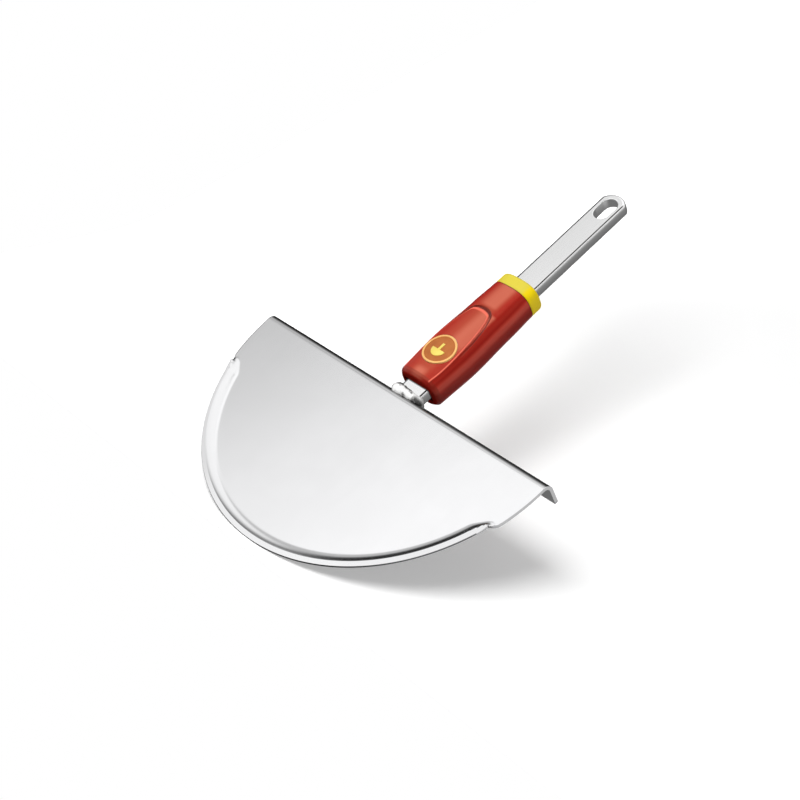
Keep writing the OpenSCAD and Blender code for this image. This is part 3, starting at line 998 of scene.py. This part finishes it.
class Sections:
    """The cross sections of the sleeve, from its nose back."""

    side_count = 18
    panel_steps = 6
    bar_square = 0.2
    edge_steps = (0.0, 0.45 * MM, 1.0 * MM, 1.6 * MM, 2.1 * MM)

    def __init__(self, size):
        self.size = size
        self.low, self.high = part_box("sleeve")
        self.bar_low, self.bar_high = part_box("tang")
        self.middle = (self.low.z + self.high.z) / 2
        self.bar_middle = (self.bar_low.z + self.bar_high.z) / 2
        self.half_width = self.high.x
        self.half_height = (self.high.z - self.low.z) / 2
        self.length = self.high.y - self.low.y

    def share(self, along):
        """Size of a section as a share of the belly's."""
        size = self.size
        stations = (
            (0.0, size.nose_share), (size.belly, 1.0), (size.waist, size.waist_share),
            (self.length, size.rear_share))
        for (start, first), (end, second) in zip(stations, stations[1:]):
            if along <= end:
                return first + (second - first) * ease(along, start, end)
        return size.rear_share

    def panel_half(self, along):
        """Half the width of the top panel."""
        size = self.size
        if along < size.panel_wide:
            apart, end = (size.panel_wide - along) / size.panel_wide, size.panel_nose
        else:
            apart, end = (along - size.panel_wide) / (size.panel_end - size.panel_wide), size.panel_rear
        apart = min(1.0, apart)
        return size.panel / 2 * math.sqrt(1 - (1 - (end / size.panel) ** 2) * apart * apart)

    def outline(self, along, inset, top_inset=None):
        """Points of one section as (x, z, outward direction, distance in from the panel's edge)."""
        size = self.size
        share = self.share(along)
        a = self.half_width * share - inset
        b = self.half_height * share - (inset if top_inset is None else top_inset)
        power = size.top_square
        panel = min(self.panel_half(along), a * 0.93)
        inner = panel - self.edge_steps[-1] - 0.4 * MM
        right = [inner * k / self.panel_steps for k in range(self.panel_steps + 1)]
        points = []
        for x in right + [panel - e for e in reversed(self.edge_steps)]:
            points.append((x, b * (1 - (x / a) ** power) ** (1 / power), panel - x))
        start = math.acos((panel / a) ** (power / 2))
        for k in range(1, self.side_count + 1):
            t = start - (start + math.pi / 2) * (k / self.side_count) ** 1.3
            p = power if t > 0 else size.side_square
            x, z = box_point(t, a, b, 2 / p)
            points.append((x if k < self.side_count else 0.0, z, -1.0))
        result = []
        for x, z, e in points + [(-x, z, e) for x, z, e in reversed(points[1:-1])]:
            p = power if z > 0 else size.side_square
            out_x = math.copysign((abs(x) / a) ** (p - 1) / a, x)
            out_z = math.copysign((abs(z) / b) ** (p - 1) / b, z)
            result.append((x, z, Vector((out_x, 0, out_z)).normalized(), e))
        return result

    def around_bar(self, along, room, like):
        """A rounded box round the bar with one point for each point of a section."""
        half_x = (self.bar_high.x - self.bar_low.x) / 2 + room
        half_z = (self.bar_high.z - self.bar_low.z) / 2 + room
        share = self.share(along)
        points = []
        for x, z, _, _ in like:
            t = math.atan2(z / (self.half_height * share), x / (self.half_width * share))
            box_x, box_z = box_point(t, half_x, half_z, self.bar_square)
            points.append(Vector((box_x, self.low.y + along, self.bar_middle + box_z)))
        return points


class EDGER_OT_sleeve(bpy.types.Operator):
    """Models the grip sleeve with its grooved panel, mouth and badge seat"""

    bl_idname = "edger.sleeve"
    bl_label = "Sleeve"

    # Where sections stand, in millimetres: from the nose, before and behind the panel's end, before the rear
    from_nose = (0, 0.15, 0.8, 1.7, 2.0, 2.4, 3.3, 6, 9, 13, 18, 23, 28, 33, 38, 42, 45.5, 48.5, 51)
    before_end = (4.6, 3.9, 3.4, 2.6, 1.6, 0.73, 0.0)
    behind_end = (0.8, 2.5, 5.5, 9, 13)
    before_rear = (0.9, 0.45, 0.12)
    # Share of the nose's drop that is left at a distance from it
    nose_fall = ((0.0, 1.0), (1.8 * MM, 0.11), (2.4 * MM, 0.02), (3.3 * MM, 0.0))
    # Where the panel's bow starts and how far it fades out, and where the groove deepens
    bow_from = 40 * MM
    bow_fade = 9 * MM
    groove_from = 20 * MM
    groove_full = 42 * MM
    # How far in from the panel's edge its lip has run out, and the height of the tool that cuts the seat
    lip_end = 3.0 * MM
    seat_height = 10 * MM

    def execute(self, context):
        size = context.scene.edger_sleeve
        badge = context.scene.edger_badge
        sections = Sections(size)
        piece = tube("grip_sleeve", self.rings(size, sections))
        apply(piece, "SUBSURF", levels=2)
        self.cut_seat(piece, badge)
        smooth(piece, 50)
        hand_over(piece, grip_plastic("red_grip", size, sections), "red_plastic", "sleeve")
        piece.visible_glossy = False
        return {"FINISHED"}

    def rings(self, size, sections):
        """All loops of the sleeve: through the channel, out of the mouth, round the nose and back."""
        like = sections.outline(size.belly, 0.0)
        rear = sections.length
        depth = size.mouth_depth
        channel = (
            (rear, size.gap), (rear - 0.3 * MM, size.gap), (depth + 0.3 * MM, size.gap), (depth, size.gap),
            (depth, size.mouth - 0.1 * MM), (depth - 0.2 * MM, size.mouth), (0.5 * MM, size.mouth),
            (0.1 * MM, size.mouth + 0.15 * MM), (0.0, size.mouth + 0.6 * MM))
        stations = [k * MM for k in self.from_nose]
        stations += [size.panel_end - k * MM for k in self.before_end]
        stations += [size.panel_end + k * MM for k in self.behind_end]
        stations += [rear - k * MM for k in self.before_rear]
        rings = [sections.around_bar(along, room, like) for along, room in channel]
        rings += [self.section_ring(size, sections, along) for along in stations]
        rings += [self.section_ring(size, sections, rear, extra) for extra in (0.35 * MM, 0.8 * MM)]
        return rings

    def section_ring(self, size, sections, along, extra=0.0):
        """One loop of the outside, with the groove, lip and bow of the panel worked in."""
        run = min(1.0, along / size.nose_run)
        rounding = 1 - math.sqrt(max(0.0, 1 - (1 - run) ** 2))
        top_inset = extra + size.nose_top * between(along, self.nose_fall)
        panel = sections.panel_half(along)
        end = size.panel_end
        bowed = ease(along, self.bow_from, end) * (1 - ease(along, end, end + self.bow_fade))
        points = []
        for x, z, out, in_from_edge in sections.outline(along, size.nose * rounding + extra, top_inset):
            point = Vector((x, sections.low.y + along, sections.middle + z))
            if in_from_edge >= 0:
                across = abs(x) / panel
                point.y -= size.bow * bowed * (0.55 * across ** 2 + 0.45 * across ** 5)
            point += out * self.relief(size, along, in_from_edge)
            points.append(point)
        return points

    def relief(self, size, along, in_from_edge):
        """Height of the panel's edge work over the plain section."""
        from_rear = size.panel_end - along
        if in_from_edge < 0 or from_rear < -NEAR:
            return 0.0
        inside = soft_min(in_from_edge, from_rear * size.rear_share_in, size.groove_round)
        depth = size.groove * (0.1 + 0.9 * ease(along, self.groove_from, self.groove_full))
        lip = size.lip * ease(along, 0.0, size.nose_run)
        heights = (0.0, -depth, -depth, lip, lip / 2, 0.0)
        return between(inside, tuple(zip((*Sections.edge_steps, self.lip_end), heights)))

    def cut_seat(self, piece, badge):
        """Sinks the badge's round seat into the panel."""
        low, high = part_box("badge_plate")
        centre = (low + high) / 2
        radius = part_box("badge_bezel")[1].x + badge.gap
        tool = circle("seat_tool", 128, radius, (0, centre.y, low.z))
        extrude(0, 0, self.seat_height)
        weld_doubles()
        cut(piece, tool)


class EDGER_OT_collar(bpy.types.Operator):
    """Models the end ring behind the sleeve"""

    bl_idname = "edger.collar"
    bl_label = "Collar"

    # The front edge's rounding as (distance from the front, inset), in millimetres
    front_edge = ((0.0, 0.9), (0.0, 0.45), (0.12, 0.12), (0.5, 0.0), (3.0, 0.02))
    rear_inset = 0.05 * MM
    rear_steps = 6

    def execute(self, context):
        size = context.scene.edger_sleeve
        sections = Sections(size)
        front = sections.length
        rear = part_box("collar")[1].y - sections.low.y
        like = sections.outline(front, 0.0)

        def ring(along, inset):
            return [
                Vector((x, sections.low.y + along, sections.middle + z))
                for x, z, _, _ in sections.outline(front, inset)]

        rings = [sections.around_bar(front, size.gap, like)]
        rings += [ring(front + along * MM, inset * MM) for along, inset in self.front_edge]
        for k in range(self.rear_steps + 1):
            t = math.pi / 2 * k / self.rear_steps
            along = rear - size.collar_round * (1 - math.sin(t))
            rings.append(ring(along, self.rear_inset + size.collar_round * (1 - math.cos(t))))
        rings.append(ring(rear, size.collar_round + 0.8 * MM))
        rings.append(sections.around_bar(rear, size.gap + 0.3 * MM, like))
        rings.append(sections.around_bar(rear - 0.3 * MM, size.gap, like))
        piece = tube("end_collar", rings)
        apply(piece, "SUBSURF", levels=1)
        smooth(piece, 50)
        hand_over(piece, ring_plastic("yellow_ring", sections.middle), "yellow_plastic", "collar")
        piece.visible_glossy = False
        return {"FINISHED"}


# The badge

class EDGER_OT_badge(bpy.types.Operator):
    """Models the badge: disc, bright ring and half moon figure"""

    bl_idname = "edger.badge"
    bl_label = "Badge"

    disc_foot = 0.9 * MM
    ring_foot = 0.5 * MM
    figure_foot = 0.3 * MM

    def execute(self, context):
        self.size = context.scene.edger_badge
        plate_low, plate_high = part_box("badge_plate")
        ring_low, ring_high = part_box("badge_bezel")
        self.centre = (plate_low + plate_high) / 2
        self.disc(plate_low, plate_high, ring_high)
        self.bezel(ring_low, ring_high)
        self.figure(*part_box("badge_motif"))
        return {"FINISHED"}

    def crown(self, point):
        """Lowers a point by the crown of the badge."""
        return Vector((point.x, point.y, point.z - point.x ** 2 / (2 * self.size.crown)))

    def disc(self, low, high, ring_high):
        """The disc, which reaches a little under the ring."""
        radius = ring_high.x - self.size.ring + 0.3 * MM
        piece = circle("badge_disc", 96, radius, (0, self.centre.y, low.z + self.disc_foot))
        extrude(0, 0, high.z - low.z - self.disc_foot)
        weld_doubles()
        pick(piece, "FACE", lambda f: f.normal.z > 0.9)
        for width in (1.2 * MM, 2.5 * MM, 2.5 * MM):
            bpy.ops.mesh.inset(thickness=width, depth=0)
        place(piece, self.crown)
        smooth(piece, 40)
        finish = painted_metal("badge_ground", (186, 108, 46), (176, 98, 40), 0.42, 0.25)
        hand_over(piece, finish, "badge_ground", "badge_plate")

    def bezel(self, low, high):
        """The ring, with a rounded top."""
        outer = high.x
        inner = outer - self.size.ring
        foot = low.z + self.ring_foot
        piece = circle("badge_ring", 128, outer, (0, self.centre.y, foot), "NOTHING")
        bpy.ops.mesh.select_mode(type="EDGE")
        take_all()
        radius, height = outer, foot
        for new_radius, new_height in ((outer, high.z), (inner, high.z), (inner, foot), (outer, foot)):
            extrude_edges(new_height - height)
            scale = new_radius / radius
            bpy.ops.transform.resize(value=(scale, scale, 1), center_override=(0, self.centre.y, new_height))
            radius, height = new_radius, new_height
        weld_doubles()
        pick(piece, "EDGE", lambda e: abs(middle(e).z - high.z) < CLOSE and sharp(e, 60))
        bevel(0.42 * MM, 4)
        place(piece, self.crown)
        weld_doubles()
        smooth(piece, 60)
        finish = painted_metal("badge_ring", (250, 196, 120), (244, 188, 112), 0.35, 0.3)
        hand_over(piece, finish, "badge_ring", "badge_bezel")

    def figure(self, low, high):
        """A half moon with a short stem, both with softened edges."""
        size = self.size
        base = low.z - self.figure_foot
        chord = self.centre.y - 0.4 * MM
        half_stem = size.stem / 2
        piece = circle("badge_figure", 72, size.moon, (0, chord, base))
        bpy.ops.mesh.bisect(plane_co=(0, chord, base), plane_no=(0, 1, 0), use_fill=False, clear_outer=True)

        def on_chord(point, reach):
            return abs(point.y - chord) < NEAR and abs(point.x) < reach

        def to_stem(point):
            if on_chord(point, size.moon * 0.5):
                point.x = math.copysign(half_stem, point.x)
            return point

        pick(piece, "EDGE", lambda e: all(on_chord(v.co, 2 * size.moon) for v in e.verts))
        bpy.ops.mesh.subdivide(number_cuts=2)
        place(piece, to_stem)
        pick(piece, "EDGE", lambda e: all(on_chord(v.co, half_stem + NEAR) for v in e.verts))
        extrude(0, size.moon * 0.95, 0)
        take_all()
        bpy.ops.mesh.normals_make_consistent(inside=False)
        take_all()
        extrude(0, 0, high.z - base)
        weld_doubles()
        pick(piece, "EDGE", lambda e: abs(middle(e).z - high.z) < CLOSE and sharp(e, 50))
        bevel(0.16 * MM, 3)
        place(piece, self.crown)
        weld_doubles()
        smooth(piece, 40)
        finish = painted_metal("badge_figure", (240, 220, 110), (236, 212, 96), 0.38, 0.2)
        hand_over(piece, finish, "badge_figure", "badge_motif")


class EDGER_OT_pin(bpy.types.Operator):
    """Gives the hidden cross pin its steel finish"""

    bl_idname = "edger.pin"
    bl_label = "Pin finish"

    def execute(self, context):
        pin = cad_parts["retaining_pin"]
        pin.data.materials.clear()
        pin.data.materials.append(steel("pin_steel", (200, 202, 204), 0.3, (1.0, 1.0, 0.04), 0.1))
        return {"FINISHED"}


# The stage

class EDGER_OT_stage(bpy.types.Operator):
    """Sets the pale floor, the studio light and the camera"""

    bl_idname = "edger.stage"
    bl_label = "Stage"

    # The floor: its side, its place by the blade's tip, with the drop in millimetres, and its cuts
    floor_side = 0.9
    floor_shift = 0.1
    floor_front = 10 * MM
    floor_drop = 1.2
    tip_depth = 2.1 * MM
    floor_cuts = 89
    # Its glow, in its own coordinates: middle and reach of the plain part, what far away adds, and the reach of
    # the strip of painted shade along the bar's shadow
    plain_middle = (-0.05, 0.30)
    plain_reach = (0.24, 0.40)
    far_glow = 0.5
    painted_shade_reach = (0.16, 0.08)

    # The room that mirrors see: its size, and greys over the wall's height, 0 at its middle and 1 at its top
    room_radius = 4.0
    room_height = 8.0
    pale_wall = ((0.0, 0.17), (0.06, 0.26), (0.10, 0.40), (0.16, 0.66), (0.25, 0.86), (0.5, 0.92))
    dark_wall = (
        (0.0, 0.006), (0.06, 0.012), (0.11, 0.03), (0.16, 0.09), (0.22, 0.28), (0.27, 0.44), (0.34, 0.48),
        (0.44, 0.48), (0.457, 0.54), (0.476, 0.69), (0.5, 0.82), (0.529, 0.92), (0.557, 1.0))
    front_wall = ((0.0, 0.22), (0.15, 0.34), (0.25, 0.85), (0.5, 0.95), (0.58, 0.45), (0.66, 0.06))
    ground_level = -0.15

    # What the lamp points at, and the camera's film width in millimetres and clipping distances
    lamp_aim = (0, -0.02, 0)
    film_width = 36.0
    clip_near = 0.05
    clip_far = 100.0

    def execute(self, context):
        size = context.scene.edger_stage
        self.world(context, size)
        self.floor(size)
        self.wall()
        self.ceiling()
        self.ground_board()
        self.lamp(size)
        self.camera(context, size)
        return {"FINISHED"}

    def seen_ray(self, finish):
        """1 for what the camera sees, straight or in a mirror or glass."""
        path = finish.node("ShaderNodeLightPath", output="Is Camera Ray")
        outputs = path.socket.node.outputs
        glossy = Value(finish, outputs["Is Glossy Ray"])
        through = Value(finish, outputs["Is Transmission Ray"])
        return (path + glossy + through).at_most(1.0)

    def world(self, context, size):
        """White where it is seen, an even fill everywhere else."""
        finish = Finish("studio", world=True)
        strength = size.fill + self.seen_ray(finish) * (1.0 - size.fill)
        context.scene.world = finish.close(
            finish.node("ShaderNodeBackground", {}, {"Color": WHITE, "Strength": strength}))

    def floor(self, size):
        """A pale floor below the blade's tip, leaning away from the blade and bent flatter under the bar."""
        low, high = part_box("blade")
        normal = Vector(size.floor_normal).normalized()
        tip = Vector((0, low.y, high.z - self.tip_depth)) - normal * self.floor_drop * MM
        uphill = (Vector((0, 0, 1)) - normal * normal.z).normalized()
        at = tip - uphill * (self.floor_side / 2 - self.floor_front) + Vector((self.floor_shift, 0, 0))
        turn = normal.to_track_quat("Z", "Y").to_euler()
        deselect_all()
        bpy.ops.mesh.primitive_plane_add(size=self.floor_side, location=at, rotation=turn)
        floor = bpy.context.object
        floor.name = "floor"

        def bend(point):
            past = max(0.0, size.floor_bend - point.y)
            run = size.floor_bend_run
            rise = past - run / 2 if past > run else past * past / (2 * run)
            return Vector((point.x, point.y, rise * size.floor_rise))

        mode("EDIT")
        take_all()
        bpy.ops.mesh.subdivide(number_cuts=self.floor_cuts)
        place(floor, bend)
        mode("OBJECT")
        bpy.ops.object.shade_smooth()
        floor.data.materials.append(self.floor_finish(size))
        floor.visible_glossy = False

    def floor_finish(self, size):
        """Matt and pale, with a glow for the camera that rises away from the part, less glow as painted shade
        along the bar's shadow, and clear from below.
        """
        finish = Finish("pale_floor")
        where = finish.coordinates()
        tint = finish.blend(finish.noise(where, 3.0, 2.0), (0.79, 0.79, 0.79, 1), (0.81, 0.81, 0.81, 1))
        x, y, _ = finish.parts(where)
        off_x = x - self.plain_middle[0]
        off_y = y - self.plain_middle[1]
        away = (off_x * off_x + off_y * off_y).root()
        level = finish.span(away, *self.plain_reach, size.floor_glow, size.floor_glow + self.far_glow)
        # Painted shade: less glow in a strip behind the bend, where the bar's shadow falls.
        dim = finish.span(y, size.floor_bend, size.floor_bend - size.floor_painted_shade_run, 0.0, size.floor_painted_shade)
        level = level - dim * finish.span((x - self.floor_shift).size(), *self.painted_shade_reach)
        matt = finish.node("ShaderNodeBsdfDiffuse", {}, {"Color": tint})
        strength = self.seen_ray(finish) * level
        glow = finish.node("ShaderNodeEmission", {}, {"Color": WHITE, "Strength": strength})
        both = finish.node("ShaderNodeAddShader", {}, {0: matt, 1: glow})
        underside = finish.node("ShaderNodeNewGeometry", output="Backfacing")
        clear = finish.node("ShaderNodeBsdfTransparent")
        return finish.close(finish.node("ShaderNodeMixShader", {}, {0: underside, 1: both, 2: clear}))

    def hang(self, name, finish, level):
        """Makes the board just added glow and hides it from all rays but mirrored ones."""
        board = bpy.context.object
        board.name = name
        glow = finish.node("ShaderNodeEmission", {}, {"Color": WHITE, "Strength": level})
        board.data.materials.append(finish.close(glow))
        for ray in ("camera", "diffuse", "shadow", "transmission", "volume_scatter"):
            setattr(board, f"visible_{ray}", False)

    def turn_from_back(self, finish, x, y):
        """Turn of a spot about the room's middle, 0 on its -X side and growing towards +Y."""
        return finish.node("ShaderNodeMath", {"operation": "ARCTAN2"}, {0: y, 1: x * -1.0})

    def wall(self):
        """A round wall with a dark window, a dim side and a dark foot."""
        deselect_all()
        bpy.ops.mesh.primitive_cylinder_add(
            vertices=96, radius=self.room_radius, depth=2 * self.room_height, end_fill_type="NOTHING")
        finish = Finish("wall")
        span = finish.span
        x, y, z = finish.parts(finish.coordinates())
        height = span(z, 0.0, self.room_height, how="LINEAR")
        behind = self.turn_from_back(finish, x, y)
        pale, dark, front = [
            self.ramp(finish, height, stops) for stops in (self.pale_wall, self.dark_wall, self.front_wall)]
        window = span(behind, 0.18, 0.30) * span(behind, 0.74, 0.56)
        left = span(behind, 0.34, 0.22) * span(behind, -0.8, -0.5)
        dim = span(behind, -0.6, -0.9) * span(behind, -2.2, -1.9) * span(z, 4.4, 3.6)
        upper = span(z, 7.0, 7.6) * span(behind, 0.35, 0.6) * span(behind, 1.20, 1.14)
        facing = span(behind.size(), 1.9, 2.3)
        level = 1.2 * (pale + window * (dark - pale))
        level = (level + facing * (front - level)) * (1.0 - dim * 0.7) * (1.0 - upper * 0.92)
        self.hang("wall", finish, level.at_least(left * 0.86) * span(z, -0.5, 0.05))

    def ceiling(self):
        """A bright ceiling with a dark strip."""
        deselect_all()
        at = (0, 0, self.room_height - 10 * MM)
        bpy.ops.mesh.primitive_plane_add(size=2.1 * self.room_radius, location=at)
        finish = Finish("ceiling")
        x, y, _ = finish.parts(finish.coordinates())
        strip = finish.span(x, -2.9, -2.3) * finish.span(y, 1.4, 2.0) * finish.span(x, -0.3, -0.9)
        self.hang("ceiling", finish, 1.05 - strip * 0.95)

    def ground_board(self):
        """A grey ground, darker to the left and far from the part."""
        deselect_all()
        bpy.ops.mesh.primitive_circle_add(
            vertices=64, radius=self.room_radius, fill_type="NGON", location=(0, 0, self.ground_level))
        finish = Finish("ground_board")
        where = finish.coordinates()
        x, y, _ = finish.parts(where)
        away = finish.node("ShaderNodeVectorMath", {"operation": "LENGTH"}, {0: where}, output="Value")
        far = 0.05 + 0.9 * finish.span(self.turn_from_back(finish, x, y), 0.8, 1.25)
        level = finish.span(x, 0.10, 0.30, 0.17, 0.66) * (far + finish.span(away, 0.8, 0.35) * (1.0 - far))
        self.hang("ground_board", finish, level)

    def ramp(self, finish, value, stops):
        """A ramp of greys over a value."""
        made = finish.node("ShaderNodeValToRGB", {}, {"Fac": value})
        elements = made.socket.node.color_ramp.elements
        while len(elements) < len(stops):
            elements.new(1.0)
        for element, (at, grey) in zip(elements, stops):
            element.position = at
            element.color = (grey, grey, grey, 1.0)
        return made

    def lamp(self, size):
        """A wide soft key lamp overhead."""
        deselect_all()
        at = Vector(size.key_place)
        bpy.ops.object.light_add(type="AREA", location=at)
        lamp = bpy.context.object
        lamp.name = "key_lamp"
        lamp.data.shape = "DISK"
        lamp.data.size = size.key_size
        lamp.data.energy = size.key_power
        lamp.rotation_euler = (Vector(self.lamp_aim) - at).to_track_quat("-Z", "Y").to_euler()
        lamp.visible_glossy = False

    def camera(self, context, size):
        """The photo's view."""
        deselect_all()
        bpy.ops.object.camera_add(location=size.camera_place, rotation=size.camera_turn)
        camera = bpy.context.object
        camera.name = "photo_camera"
        camera.data.lens = size.lens
        camera.data.sensor_width = self.film_width
        camera.data.clip_start = self.clip_near
        camera.data.clip_end = self.clip_far
        context.scene.camera = camera
        context.scene.view_settings.view_transform = "Standard"


# The panel and the add-on's start and end

class EDGER_PT_panel(bpy.types.Panel):
    """Lists the steps that build the edger head"""

    bl_idname = "EDGER_PT_panel"
    bl_label = "Edger head"
    bl_space_type = "VIEW_3D"
    bl_region_type = "UI"
    bl_category = "Edger"

    def draw(self, context):
        for step in STEPS:
            self.layout.operator(step.bl_idname)


STEPS = (
    EDGER_OT_blade, EDGER_OT_bar, EDGER_OT_weld, EDGER_OT_sleeve, EDGER_OT_collar, EDGER_OT_badge,
    EDGER_OT_pin, EDGER_OT_stage)
GROUPS = {
    "edger_blade": EdgerBladeSizes,
    "edger_bar": EdgerBarSizes,
    "edger_sleeve": EdgerSleeveSizes,
    "edger_badge": EdgerBadgeSizes,
    "edger_stage": EdgerStageSettings,
}
CLASSES = (*GROUPS.values(), *STEPS, EDGER_PT_panel)


def register():
    """Adds the classes and the scene's settings."""
    for added in CLASSES:
        bpy.utils.register_class(added)
    for name, group in GROUPS.items():
        setattr(bpy.types.Scene, name, PointerProperty(type=group))


def unregister():
    """Takes away what register added."""
    for name in GROUPS:
        delattr(bpy.types.Scene, name)
    for added in reversed(CLASSES):
        bpy.utils.unregister_class(added)


def main():
    """Builds every piece in order."""
    register()
    bpy.ops.edger.blade()
    bpy.ops.edger.bar()
    bpy.ops.edger.weld()
    bpy.ops.edger.sleeve()
    bpy.ops.edger.collar()
    bpy.ops.edger.badge()
    bpy.ops.edger.pin()
    bpy.ops.edger.stage()
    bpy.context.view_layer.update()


if __name__ == "__main__":
    main()
